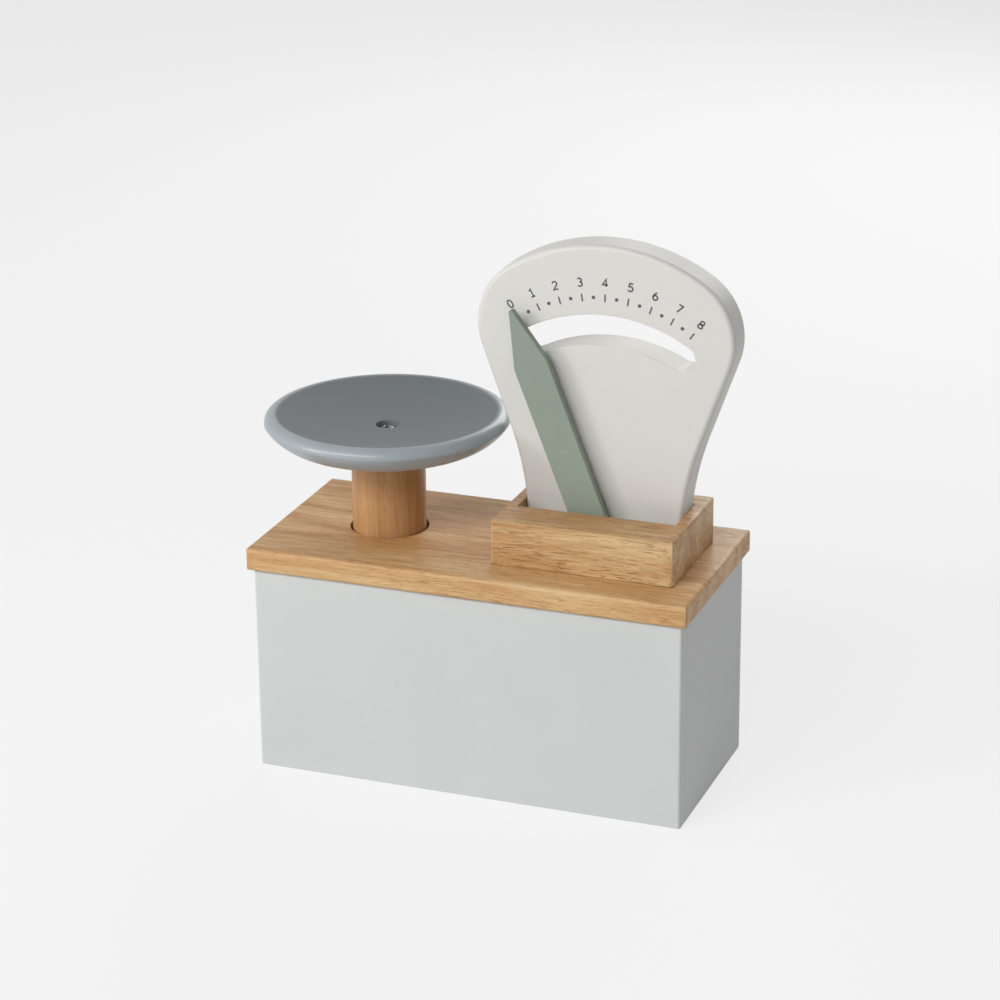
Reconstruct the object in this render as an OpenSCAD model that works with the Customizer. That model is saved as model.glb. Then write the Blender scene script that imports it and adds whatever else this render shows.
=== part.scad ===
// Toy weighing scale: a wooden case, a sprung pan on a post, and a pointer in front of a dial.
// Lengths are in millimetres. +X is right, +Y is back and +Z is up.
// The origin is the middle of the underside, so the scale stands on z = 0 and faces -Y.

/* [Case] */
// Depth of the top board along Y
board_depth = 104; // [98:1:125]
// Thickness of the top board
board_th = 12; // [10:0.5:16]
// Rounding of the top board's edges
board_edge_r = 2.5; // [1:0.5:4]
// How far the top board stands out past the walls
board_lip = 3; // [1:0.5:6]
// Height of the walls
wall_h = 103; // [95:1:125]
// Thickness of the walls
wall_th = 8; // [6:0.5:10]
// Rounding of the walls' outer upright edges
wall_edge_r = 1.5; // [0.5:0.5:3]
// Thickness of the base panel
base_th = 5; // [4:0.5:8]
// Side of the square corner blocks
corner_w = 14; // [11:0.5:16]

/* [Pan and post] */
// Radius of the pan
pan_r = 59.5; // [50:0.5:70]
// Gap between the pan and the side of the dial
pan_gap = 3; // [2:0.25:20]
// Overall thickness of the pan
pan_th = 16; // [15:0.5:20]
// Depth of the dished top
dish_depth = 7.2; // [4:0.2:7.4]
// Width of the rounded rim, seen from above
rim_w = 5; // [3:0.5:7]
// Height of the rounded rim above the widest line
rim_h = 4.6; // [3:0.2:6]
// Radius of the flat underside of the pan
pan_foot_r = 38; // [30:0.5:46]
// Height of the pan's underside above the top board at rest
pan_lift = 43; // [30:0.5:50]
// Radius of the post
post_r = 18; // [14:0.5:20]
// Gap all round the post in the top board
post_hole_gap = 1.2; // [0.6:0.1:2]
// How far the post goes up into the pan
pan_seat = 2; // [1:0.5:3]
// Radius of the screw well in the pan
well_r = 5.75; // [5:0.25:7]
// Depth of the screw well in the pan
well_depth = 3; // [2.6:0.1:3.4]

/* [Dial] */
// Distance from the dial's middle to the right end of the top board
dial_inset = 58; // [54:0.5:75]
// Height of the dial above the top board
dial_h = 151.2; // [146:0.2:165]
// Half of the dial's greatest width
dial_half_w = 63.4; // [60:0.2:66]
// Thickness of the dial
dial_th = 18; // [14:0.5:20]
// Rounding of the dial's front and back edges
dial_edge_r = 2.5; // [1:0.5:4]
// Radius of the arc along the dial's top
dial_top_r = 88; // [80:1:100]
// Radius of the dial's shoulders
dial_shoulder_r = 34; // [30:0.5:38]
// Half of the dial's width at its waist
waist_half_w = 38.5; // [34:0.5:42]
// Height above the top board at which the straight sides would reach the waist's width
flank_low = 33.9; // [28:0.1:40]
// How far the hollow curve of the waist runs each way from that height
waist_run = 26.4; // [10:0.2:27]
// Distance from the dial's top down to the window
window_drop = 33.4; // [28:0.1:36]
// Height of the window at its middle
window_h = 14.9; // [12:0.1:20]
// Distance from the dial's middle to the middle of each rounded end of the window
window_half_w = 38; // [33:0.1:43]
// How much lower the ends of the window lie than its middle
window_bow = 9; // [6:0.1:11]
// Radius of the window's rounded ends
window_end_r = 6.5; // [4:0.1:7]

/* [Dial block] */
// Height of the block that holds the dial
block_h = 22.6; // [20:0.2:28]
// Thickness of the block's end walls
block_wall = 6; // [4:0.1:8]
// Depth of the block's front rail
front_rail = 22.4; // [18:0.2:24]
// Depth of the block's back rail
back_rail = 13.8; // [10:0.2:16]
// Rounding of the block's upright and upper edges
block_edge_r = 2; // [0.5:0.5:3]

/* [Pointer and drive] */
// Height of the pointer's pivot above the top board
pivot_lift = 6; // [5:0.2:8]
// How far the upright pointer would reach past the upper edge of the window
pointer_reach = 8.2; // [2:0.1:10]
// Width of the pointer
pointer_w = 17.5; // [14:0.5:20]
// Thickness of the pointer
pointer_th = 4; // [3:0.5:6]
// Length of the pointer's tapered end
taper_len = 27.5; // [20:0.5:35]
// Width of the pointer's blunt tip
tip_w = 1.8; // [1:0.2:6]
// Lean of the pointer to the left at rest, in degrees
pointer_lean = 21.25; // [18:0.25:22]
// Gap between the pointer and the dial
pointer_back_gap = 4; // [2:0.1:5]
// Gap between the pointer and the front rail
pointer_front_gap = 2.6; // [2:0.1:4]
// Distance from the pivot to the crank pin
crank_r = 18; // [16:0.5:19]
// Width of the crank
crank_w = 11; // [9:0.5:12]
// Radius of the pivot pin
pivot_pin_r = 2; // [1.5:0.1:2.4]
// Radius of the crank pin
crank_pin_r = 1.5; // [1.2:0.1:2]
// Thickness of the steel fork
fork_th = 2; // [1.5:0.1:2.5]
// Steel left all round the fork's slot
fork_rim = 3.5; // [3:0.1:4]
// Height of the drive arm
arm_h = 10; // [8:0.5:12]
// Width of the drive arm
arm_w = 16; // [12:0.5:18]
// Height of the guide block under the top board
guide_h = 23; // [18:0.5:26]
// Least thickness of the guide block's walls round the post
guide_wall = 10; // [9:0.5:14]

/* [Spring] */
// Radius of the spring's coils, to the middle of the wire
coil_r = 9; // [8:0.25:11]
// Radius of the spring's wire
wire_r = 0.7; // [0.6:0.05:0.9]
// Number of turns, with the closed turn at each end
turns = 9; // [7:1:11]
// Height of the peg's wide foot under the spring
peg_foot_h = 16; // [12:0.5:20]
// Height of the peg's narrow top inside the spring
peg_top_h = 8; // [5:0.5:12]

/* [Hidden] */

$fn = 96;
// Overrun of every cut past the surface that it opens
over = 1;
// Gap round glued and pressed round parts
fit_gap = 0.05;
// Gap round parts that slide or turn in each other
run_gap = 0.1;
// Gap above and below the crank pin in the fork's slot
slot_gap = 0.15;
// Gap at each end of the spring
seat_gap = 0.3;

// Heights of the case
board_z = wall_h;
top_z = wall_h + board_th;

// Screws: countersunk ones in three lengths, and round-headed ones in three
screw_r = 1.7;
sunk_head_r = 3.6;
sunk_head_h = 2.2;
base_screw_len = 20;
guide_screw_len = guide_h + board_th / 2;
block_screw_len = board_th + block_h / 2;
round_head_r = 4;
round_head_h = 2.2;
pan_screw_len = 28;
arm_screw_hold = 14;
arm_screw_len = arm_h + arm_screw_hold;
fork_screw_len = 8;
fork_screw_r = 1.2;
fork_head_r = 2.2;
fork_head_h = 1.2;
cross_w = 0.9;
cross_len_share = 1.2;
cross_depth_share = 0.6;

// Dowels
dowel_r = 3;
dowel_down = 8;
dowel_up = 12;
dial_dowel_in = 16;

// Dial, in its own plane: across, and up from the top board.
// Its straight sides touch the round shoulders, and below the block's top its foot is upright.
shoulder_x = dial_half_w - dial_shoulder_r;
top_arc_up = dial_h - dial_top_r;
shoulder_up = top_arc_up + sqrt(pow(dial_top_r - dial_shoulder_r, 2) - pow(shoulder_x, 2));
shoulder_turn = atan2(shoulder_up - top_arc_up, shoulder_x);
flank_reach = norm([waist_half_w - shoulder_x, shoulder_up - flank_low]);
flank_lean = asin(dial_shoulder_r / flank_reach) - atan2(waist_half_w - shoulder_x, shoulder_up - flank_low);
waist_r = waist_run / tan(flank_lean / 2);
waist_x = waist_half_w + waist_r;
waist_up = flank_low - waist_run;
foot_turn = asin((block_h - waist_up) / waist_r);
foot_half_w = waist_x - waist_r * cos(foot_turn);
dial_dowel_x = foot_half_w - dial_dowel_in;

// Window of the dial: two arcs about the dial's middle line, with a round end tucked between them
window_top_up = dial_h - window_drop;
window_low_up = window_top_up - window_h;
end_up = window_low_up + window_end_r - window_bow;
function arc_middle(up) = (pow(up, 2) - pow(window_half_w, 2) - pow(end_up, 2)) / (2 * (up - end_up));
top_middle = arc_middle(window_top_up - window_end_r);
low_middle = arc_middle(window_low_up + window_end_r);
end_top_angle = atan2(end_up - top_middle, window_half_w);
end_low_angle = atan2(end_up - low_middle, window_half_w);

// Layers from the dial's face forwards, as negative Y
pointer_back_y = -pointer_back_gap;
pointer_front_y = pointer_back_y - pointer_th;
pocket_front_y = pointer_front_y - pointer_front_gap;
fork_clear = 2;
fork_back_y = pointer_front_y - fork_clear;
fork_front_y = fork_back_y - fork_th;
fork_bay_gap = 1.5;
bay_front_y = fork_front_y - fork_bay_gap;

// Dial block
pocket_half_w = foot_half_w + fit_gap;
pocket_back_y = dial_th + fit_gap;
block_len = 2 * (pocket_half_w + block_wall);
block_front_y = pocket_front_y - front_rail;
block_back_y = pocket_back_y + back_rail;
block_depth = block_back_y - block_front_y;
block_mid_y = (block_back_y + block_front_y) / 2;
block_screw_in = 10;
block_screw_x = foot_half_w - block_screw_in;

// Places along X, from the left end of the top board: guide block, pan and dial
guide_w = 2 * (post_r + guide_wall);
guide_gap = 1;
pan_inset = board_lip + wall_th + corner_w + guide_gap + guide_w / 2;
dial_side_x = waist_half_w + (pan_lift + pan_th - flank_low) * tan(flank_lean);
board_len = pan_inset + pan_r + pan_gap + dial_side_x + dial_inset;
pan_x = pan_inset - board_len / 2;
dial_x = board_len / 2 - dial_inset;
case_len = board_len - 2 * board_lip;
case_depth = board_depth - 2 * board_lip;
corner_x = case_len / 2 - wall_th - corner_w / 2;
corner_y = case_depth / 2 - wall_th - corner_w / 2;

// Pivot, crank and fork
pivot_z = top_z + pivot_lift;
pointer_len = window_top_up - pivot_lift + pointer_reach;
pin_sink = 8;
spacer_r = 6;
fork_x = dial_x + crank_r * (1 + cos(pointer_lean)) / 2;
slot_end_gap = 0.7;
fork_slot_len = crank_r * (1 - cos(pointer_lean)) + 2 * (crank_pin_r + slot_end_gap);
fork_slot_h = 2 * (crank_pin_r + slot_gap);
fork_w = fork_slot_len + 2 * fork_rim;
fork_slot_z = pivot_z + crank_r * sin(pointer_lean);
fork_top_z = fork_slot_z + fork_slot_h / 2 + fork_rim;
bay_top_gap = 1;
board_slot_gap = 2;
fork_foot_len = 15;
fork_screw_step = 6;

// Pan: how far its round belly has turned up where it meets the rim, in degrees
belly_turn = 60;

// Post, arm and guide
post_top_z = top_z + pan_lift + pan_seat;
arm_top_z = board_z - guide_h;
arm_low_z = arm_top_z - arm_h;
arm_tail = 6;
arm_end = 3;
arm_left = pan_x - post_r - arm_tail;
arm_right = fork_x + fork_w / 2 + arm_end;
guide_screw_in = 6.5;

// Spring and peg
peg_foot_rim = 4;
peg_foot_r = coil_r + peg_foot_rim;
peg_gap = 1;
peg_top_r = coil_r - wire_r - peg_gap;
spring_low = base_th + peg_foot_h + seat_gap;
spring_high = arm_low_z - seat_gap;
rings_a_turn = 8;
wire_sides = 6;
end_coil_gap = 0.5;
end_pitch = 2 * wire_r + end_coil_gap;
mid_pitch = (spring_high - spring_low - 2 * wire_r - 2 * end_pitch) / (turns - 2);

// Points of an arc about c, from angle a to angle b in n steps
function arc(c, r, a, b, n) = [
    for (i = [0 : n]) c + r * [cos(a + (b - a) * i / n), sin(a + (b - a) * i / n)]
];

function mirrored(points) = [for (i = [len(points) - 1 : -1 : 0]) [-points[i].x, points[i].y]];

// Right half of the dial's outline, drawn in by inset, from the foot up to the top
function dial_half(inset) = concat(
    [[foot_half_w - inset, 0]],
    arc([waist_x, waist_up], waist_r + inset, 180 - foot_turn, 180 - flank_lean, 8),
    arc([shoulder_x, shoulder_up], dial_shoulder_r - inset, -flank_lean, shoulder_turn, 14),
    arc([0, top_arc_up], dial_top_r - inset, shoulder_turn, 90, 8)
);

function dial_outline(inset) = concat(dial_half(inset), mirrored(dial_half(inset)));

// The rounded front and back edges: [depth, inset] pairs from the face to the back
edge_steps = 4;
dial_layers = concat(
    [for (i = [0 : edge_steps]) dial_edge_r * [1 - cos(90 * i / edge_steps), 1 - sin(90 * i / edge_steps)]],
    [for (i = [edge_steps : -1 : 0])
        [dial_th, 0] + dial_edge_r * [cos(90 * i / edge_steps) - 1, 1 - sin(90 * i / edge_steps)]]
);

// Right half of the window's outline, from its lower edge round the end to its upper edge
window_half = concat(
    arc([0, low_middle], window_low_up - low_middle, 90, end_low_angle, 12),
    arc([window_half_w, end_up], window_end_r, end_low_angle - 180, end_top_angle, 8),
    arc([0, top_middle], window_top_up - top_middle, end_top_angle, 90, 12)
);

// A solid through rings of points that all have the same count
module loft(rings) {
    n = len(rings[0]);
    last = len(rings) - 1;
    polyhedron(
        points = [for (ring = rings) each ring],
        faces = concat(
            [[for (i = [0 : n - 1]) i]],
            [for (k = [0 : last - 1], i = [0 : n - 1]) each [
                [k * n + i, (k + 1) * n + i, k * n + (i + 1) % n],
                [k * n + (i + 1) % n, (k + 1) * n + i, (k + 1) * n + (i + 1) % n]
            ]],
            [[for (i = [n - 1 : -1 : 0]) last * n + i]]
        ),
        convexity = 6
    );
}

// Turns a drawing of across and up into a plate that runs from y = 0 back to y = depth
module upright(depth) {
    translate([0, depth, 0])
        rotate([90, 0, 0])
            linear_extrude(depth, convexity = 6)
                children();
}

// A rectangle with rounded corners, about its middle
module round_rect(w, h, r) {
    square([w - 2 * r, h], center = true);
    square([w, h - 2 * r], center = true);
    for (x = [-1, 1], y = [-1, 1])
        translate([x * (w / 2 - r), y * (h / 2 - r)])
            circle(r);
}

// A slot with half-round ends, about its middle
module round_slot(w, h) {
    square([w - h, h], center = true);
    for (x = [-1, 1])
        translate([x * (w - h) / 2, 0])
            circle(h / 2);
}

// A block with every edge rounded, standing on z = 0
module round_block(size, r) {
    translate([0, 0, size.z / 2])
        intersection() {
            linear_extrude(size.z, center = true)
                round_rect(size.x, size.y, r);
            rotate([90, 0, 0])
                linear_extrude(size.y, center = true)
                    round_rect(size.x, size.z, r);
            rotate([90, 0, 90])
                linear_extrude(size.x, center = true)
                    round_rect(size.y, size.z, r);
        }
}

// A block with its upright and upper edges rounded, and a sharp foot on z = 0
module standing_block(size, r) {
    intersection() {
        translate([0, 0, -r])
            round_block(size + [0, 0, r], r);
        translate([-size.x / 2, -size.y / 2, 0])
            cube(size);
    }
}

// A box from its two ranges across and back, standing between two heights
module range_box(x_range, y_range, z_range) {
    translate([x_range[0], y_range[0], z_range[0]])
        cube([x_range[1] - x_range[0], y_range[1] - y_range[0], z_range[1] - z_range[0]]);
}

module at_corners(x, y) {
    for (i = [-1, 1], j = [-1, 1])
        translate([i * x, j * y, 0])
            children();
}

module cross_recess(head_r, head_h) {
    for (turn = [0, 90])
        rotate([0, 0, turn])
            translate([-cross_len_share * head_r / 2, -cross_w / 2, -over])
                cube([cross_len_share * head_r, cross_w, over + cross_depth_share * head_h]);
}

// A countersunk screw that points up, with the face of its head on z = 0
module sunk_screw(len) {
    difference() {
        union() {
            cylinder(h = sunk_head_h, r1 = sunk_head_r, r2 = screw_r);
            cylinder(h = len, r = screw_r);
        }
        cross_recess(sunk_head_r, sunk_head_h);
    }
}

// The hole that a countersunk screw leaves, open below z = 0
module sunk_hole(len) {
    translate([0, 0, -over])
        cylinder(h = over + fit_gap, r = sunk_head_r + fit_gap);
    translate([0, 0, fit_gap])
        cylinder(h = sunk_head_h, r1 = sunk_head_r + fit_gap, r2 = screw_r + fit_gap);
    cylinder(h = len + fit_gap, r = screw_r + fit_gap);
}

// A round-headed screw that points down, with the seat of its head on z = 0
module round_screw(len, r, head_r, head_h) {
    translate([0, 0, -len])
        cylinder(h = len, r = r);
    difference() {
        rotate_extrude()
            polygon(concat([[0, 0]], [for (a = [0 : 15 : 90]) [head_r * cos(a), head_h * sin(a)]]));
        translate([0, 0, head_h])
            mirror([0, 0, 1])
                cross_recess(head_r, head_h);
    }
}

module round_hole(len, r) {
    translate([0, 0, -len - fit_gap])
        cylinder(h = len + fit_gap + over, r = r + fit_gap);
}

module dowel_holes() {
    translate([0, 0, -dowel_down - fit_gap])
        cylinder(h = dowel_down + dowel_up + 2 * fit_gap, r = dowel_r + fit_gap);
}

module dowel() {
    translate([0, 0, -dowel_down])
        cylinder(h = dowel_down + dowel_up, r = dowel_r);
}

// Where the fasteners go
module at_base_screws() {
    at_corners(corner_x, corner_y)
        children();
    translate([pan_x, 0, 0])
        children();
}

module at_board_dowels() {
    translate([0, 0, board_z])
        mirror([0, 0, 1])
            at_corners(corner_x, corner_y)
                children();
}

module at_guide_screws() {
    translate([pan_x, 0, arm_top_z])
        at_corners(guide_w / 2 - guide_screw_in, guide_w / 2 - guide_screw_in)
            children();
}

module at_block_screws() {
    for (x = [-1, 1], y = [block_front_y + front_rail / 2, block_back_y - back_rail / 2])
        translate([dial_x + x * block_screw_x, y, board_z])
            children();
}

module at_dial_dowels() {
    for (x = [-1, 1])
        translate([dial_x + x * dial_dowel_x, dial_th / 2, top_z])
            children();
}

// Case

module top_board() {
    color("burlywood")
        difference() {
            translate([0, 0, board_z])
                round_block([board_len, board_depth, board_th], board_edge_r);
            translate([pan_x, 0, board_z - over])
                cylinder(h = board_th + 2 * over, r = post_r + post_hole_gap);
            drive_slot();
            at_board_dowels()
                dowel_holes();
            at_guide_screws()
                sunk_hole(guide_screw_len);
            at_block_screws()
                sunk_hole(block_screw_len);
            at_dial_dowels()
                dowel_holes();
        }
}

// The slot in the top board for the pointer's foot and the fork
module drive_slot() {
    range_box(
        [dial_x - pointer_w / 2 - board_slot_gap, fork_x + fork_w / 2 + board_slot_gap],
        [bay_front_y, pointer_back_y + pointer_back_gap / 2],
        [board_z - over, top_z + over]
    );
}

module case_outline() {
    linear_extrude(wall_h)
        round_rect(case_len, case_depth, wall_edge_r);
}

module long_panel(side) {
    color("lightgray")
        intersection() {
            case_outline();
            translate([-board_len / 2, side * (case_depth - wall_th) / 2 - wall_th / 2, 0])
                cube([board_len, wall_th, wall_h]);
        }
}

module front_panel() {
    long_panel(-1);
}

module back_panel() {
    long_panel(1);
}

module side_panel(side) {
    color("gainsboro")
        translate([side * (case_len - wall_th) / 2 - wall_th / 2, wall_th - case_depth / 2, 0])
            cube([wall_th, case_depth - 2 * wall_th, wall_h]);
}

module left_panel() {
    side_panel(-1);
}

module right_panel() {
    side_panel(1);
}

module base_panel() {
    color("tan")
        difference() {
            translate([wall_th - case_len / 2, wall_th - case_depth / 2, 0])
                cube([case_len - 2 * wall_th, case_depth - 2 * wall_th, base_th]);
            at_base_screws()
                sunk_hole(base_screw_len);
        }
}

module corner_block(side_x, side_y) {
    color("wheat")
        difference() {
            translate([side_x * corner_x - corner_w / 2, side_y * corner_y - corner_w / 2, base_th])
                cube([corner_w, corner_w, wall_h - base_th]);
            at_base_screws()
                sunk_hole(base_screw_len);
            at_board_dowels()
                dowel_holes();
        }
}

module base_screws() {
    color("silver")
        at_base_screws()
            sunk_screw(base_screw_len);
}

module board_dowels() {
    color("peru")
        at_board_dowels()
            dowel();
}

module guide_block() {
    color("navajowhite")
        difference() {
            translate([pan_x - guide_w / 2, -guide_w / 2, arm_top_z])
                cube([guide_w, guide_w, guide_h]);
            translate([pan_x, 0, arm_top_z - over])
                cylinder(h = guide_h + 2 * over, r = post_r + run_gap);
            at_guide_screws()
                sunk_hole(guide_screw_len);
        }
}

module guide_screws() {
    color("silver")
        at_guide_screws()
            sunk_screw(guide_screw_len);
}

// Dial

module dial_block() {
    color("burlywood")
        difference() {
            translate([dial_x, block_mid_y, top_z])
                standing_block([block_len, block_depth, block_h], block_edge_r);
            range_box(
                [dial_x - pocket_half_w, dial_x + pocket_half_w],
                [pocket_front_y, pocket_back_y],
                [top_z - over, top_z + block_h + over]
            );
            fork_bay();
            at_block_screws()
                sunk_hole(block_screw_len);
            pivot_bore(fit_gap);
        }
}

// The bay inside the front rail in which the fork rises and falls
module fork_bay() {
    range_box(
        [fork_x - fork_w / 2 - board_slot_gap, fork_x + fork_w / 2 + board_slot_gap],
        [bay_front_y, pocket_front_y + over],
        [top_z - over, fork_top_z + bay_top_gap]
    );
}

// The bore along the pivot's axis, from the back of the block into the front rail
module pivot_bore(gap) {
    translate([dial_x, block_back_y + over, pivot_z])
        rotate([90, 0, 0])
            cylinder(h = block_back_y + over - pocket_front_y + pin_sink + gap, r = pivot_pin_r + gap);
}

module block_screws() {
    color("silver")
        at_block_screws()
            sunk_screw(block_screw_len);
}

module dial_plate() {
    color("ivory")
        difference() {
            translate([dial_x, 0, top_z])
                loft([for (layer = dial_layers)
                    [for (p = dial_outline(layer[1])) [p.x, layer[0], p.y]]]);
            translate([dial_x, -over, top_z])
                upright(dial_th + 2 * over)
                    polygon(concat(window_half, mirrored(window_half)));
            pivot_bore(fit_gap);
            at_dial_dowels()
                dowel_holes();
        }
}

module dial_dowels() {
    color("peru")
        at_dial_dowels()
            dowel();
}

module pivot_pin() {
    color("silver")
        translate([dial_x, block_back_y, pivot_z])
            rotate([90, 0, 0])
                cylinder(h = block_back_y - pocket_front_y + pin_sink, r = pivot_pin_r);
}

// A washer on the pivot pin between two depths
module spacer(front, back) {
    translate([dial_x, back - run_gap, pivot_z])
        rotate([90, 0, 0])
            difference() {
                cylinder(h = back - front - 2 * run_gap, r = spacer_r);
                translate([0, 0, -over])
                    cylinder(h = back - front + 2 * over, r = pivot_pin_r + fit_gap);
            }
}

module rear_spacer() {
    color("dimgray")
        spacer(pointer_back_y, 0);
}

module front_spacer() {
    color("dimgray")
        spacer(pocket_front_y, pointer_front_y);
}

// Pointer, drawn upright about its pivot and then leant over to its rest place

module leant_over() {
    translate([dial_x, 0, pivot_z])
        rotate([0, -pointer_lean, 0])
            children();
}

module pointer_shape() {
    circle(pointer_w / 2);
    polygon([
        [-pointer_w / 2, 0],
        [pointer_w / 2, 0],
        [pointer_w / 2, pointer_len - taper_len],
        [tip_w / 2, pointer_len],
        [-tip_w / 2, pointer_len],
        [-pointer_w / 2, pointer_len - taper_len]
    ]);
    translate([0, -crank_w / 2])
        square([crank_r, crank_w]);
    translate([crank_r, 0])
        circle(crank_w / 2);
}

module pointer() {
    color("darkseagreen")
        leant_over()
            translate([0, pointer_front_y, 0])
                upright(pointer_th)
                    difference() {
                        pointer_shape();
                        circle(pivot_pin_r + run_gap / 2);
                        translate([crank_r, 0])
                            circle(crank_pin_r + fit_gap);
                    }
}

module crank_pin() {
    color("silver")
        leant_over()
            translate([crank_r, pointer_back_y, 0])
                rotate([90, 0, 0])
                    cylinder(h = pointer_back_y - fork_front_y + fork_bay_gap / 2, r = crank_pin_r);
}

// Pan and drive

// Section of the pan: out from the axis, and up from its underside
module pan_section() {
    ridge_up = pan_th - rim_h;
    belly_w = (pan_r - pan_foot_r) / sin(belly_turn);
    belly_h = ridge_up / (1 - cos(belly_turn));
    crest_r = pan_r - rim_w;
    dish_r = (pow(crest_r, 2) + pow(dish_depth, 2)) / (2 * dish_depth);
    dish_turn = asin(crest_r / dish_r);
    polygon(concat(
        [[0, 0]],
        [for (i = [0 : 8])
            [pan_foot_r + belly_w * sin(belly_turn * i / 8), belly_h * (1 - cos(belly_turn * i / 8))]],
        [for (a = [10 : 10 : 90]) [crest_r + rim_w * cos(a), ridge_up + rim_h * sin(a)]],
        [for (i = [9 : -1 : 0])
            [0, pan_th - dish_depth + dish_r] + dish_r * [sin(dish_turn * i / 10), -cos(dish_turn * i / 10)]]
    ));
}

module pan() {
    color("slategray")
        translate([pan_x, 0, top_z + pan_lift])
            difference() {
                rotate_extrude()
                    pan_section();
                translate([0, 0, -over])
                    cylinder(h = over + pan_seat, r = post_r + fit_gap);
                translate([0, 0, -over])
                    cylinder(h = pan_th, r = screw_r + fit_gap);
                translate([0, 0, pan_th - dish_depth - well_depth])
                    cylinder(h = pan_th, r = well_r);
            }
}

module at_pan_screw() {
    translate([pan_x, 0, top_z + pan_lift + pan_th - dish_depth - well_depth])
        children();
}

module pan_screw() {
    color("silver")
        at_pan_screw()
            round_screw(pan_screw_len, screw_r, round_head_r, round_head_h);
}

module post() {
    color("peru")
        difference() {
            translate([pan_x, 0, arm_low_z])
                cylinder(h = post_top_z - arm_low_z, r = post_r);
            translate([pan_x - post_r - over, -arm_w / 2 - fit_gap, arm_low_z - over])
                cube([2 * (post_r + over), arm_w + 2 * fit_gap, over + arm_h]);
            at_pan_screw()
                round_hole(pan_screw_len, screw_r);
            at_arm_screw()
                round_hole(arm_screw_len, screw_r);
        }
}

module at_arm_screw() {
    translate([pan_x, 0, arm_low_z])
        mirror([0, 0, 1])
            children();
}

module arm_screw() {
    color("silver")
        at_arm_screw()
            round_screw(arm_screw_len, screw_r, round_head_r, round_head_h);
}

module drive_arm() {
    color("wheat")
        difference() {
            range_box([arm_left, arm_right], [-arm_w / 2, arm_w / 2], [arm_low_z, arm_top_z]);
            at_arm_screw()
                round_hole(arm_screw_len, screw_r);
            at_fork_screws()
                round_hole(fork_screw_len, fork_screw_r);
        }
}

module at_fork_screws() {
    for (x = [-1, 1])
        translate([fork_x + x * fork_screw_step / 2, 0, arm_top_z + fork_th])
            children();
}

// A steel strip with its foot on the arm and a level slot near its top
module drive_fork() {
    color("silver")
        difference() {
            union() {
                range_box(
                    [fork_x - fork_w / 2, fork_x + fork_w / 2],
                    [fork_front_y, fork_back_y],
                    [arm_top_z, fork_top_z]
                );
                range_box(
                    [fork_x - fork_w / 2, fork_x + fork_w / 2],
                    [fork_front_y, fork_front_y + fork_foot_len],
                    [arm_top_z, arm_top_z + fork_th]
                );
            }
            translate([fork_x, fork_front_y - over, fork_slot_z])
                upright(fork_th + 2 * over)
                    round_slot(fork_slot_len, fork_slot_h);
            at_fork_screws()
                round_hole(fork_screw_len, fork_screw_r);
        }
}

module fork_screws() {
    color("silver")
        at_fork_screws()
            round_screw(fork_screw_len, fork_screw_r, fork_head_r, fork_head_h);
}

// Spring

module spring_peg() {
    color("wheat")
        translate([pan_x, 0, 0])
            difference() {
                union() {
                    translate([0, 0, base_th])
                        cylinder(h = peg_foot_h, r = peg_foot_r);
                    translate([0, 0, base_th])
                        cylinder(h = peg_foot_h + peg_top_h, r = peg_top_r);
                }
                sunk_hole(base_screw_len);
            }
}

// Height of the wire's middle above its lowest point after t turns
function wire_rise(t) =
    t < 1 ? end_pitch * t
    : t < turns - 1 ? end_pitch + mid_pitch * (t - 1)
    : end_pitch + mid_pitch * (turns - 2) + end_pitch * (t - turns + 1);

wire_steps = turns * rings_a_turn;
wire_points = [
    for (i = [0 : wire_steps])
        [coil_r * cos(360 * i / rings_a_turn), coil_r * sin(360 * i / rings_a_turn),
            wire_rise(i / rings_a_turn)]
];
least_wire_gap = min([
    for (i = [0 : wire_steps], j = [i + rings_a_turn / 2 : 1 : wire_steps])
        norm(wire_points[j] - wire_points[i])
]) - 2 * wire_r;
echo(least_wire_gap = least_wire_gap);

// One ring of the wire, square to the coil and about the coil's axis
function wire_ring(i) = [
    for (k = [0 : wire_sides - 1])
        let (turn = 360 * i / rings_a_turn, a = 360 * k / wire_sides, out = coil_r + wire_r * cos(a))
            [out * cos(turn), out * sin(turn), wire_points[i].z + wire_r * sin(a)]
];

module return_spring() {
    color("gray")
        translate([pan_x, 0, spring_low + wire_r])
            loft([for (i = [0 : wire_steps]) wire_ring(i)]);
}

top_board();
front_panel();
back_panel();
left_panel();
right_panel();
base_panel();
corner_block(-1, -1);  // corner_block_fl
corner_block(1, -1);  // corner_block_fr
corner_block(-1, 1);  // corner_block_bl
corner_block(1, 1);  // corner_block_br
base_screws();
board_dowels();
guide_block();
guide_screws();
dial_block();
block_screws();
dial_plate();
dial_dowels();
pivot_pin();
rear_spacer();
front_spacer();
pointer();
crank_pin();
pan();
pan_screw();
post();
drive_arm();
arm_screw();
drive_fork();
fork_screws();
spring_peg();
return_spring();
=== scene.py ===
"""Looks of the toy weighing scale: smooth pieces, materials, the dial's marks, lamps and camera.

Lengths are in metres in the model's own frame: +X right, +Y back, +Z up, and the scale faces -Y.
"""
import math

import bmesh
import bpy
from mathutils import Matrix, Vector
from mathutils.geometry import tessellate_polygon


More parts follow.
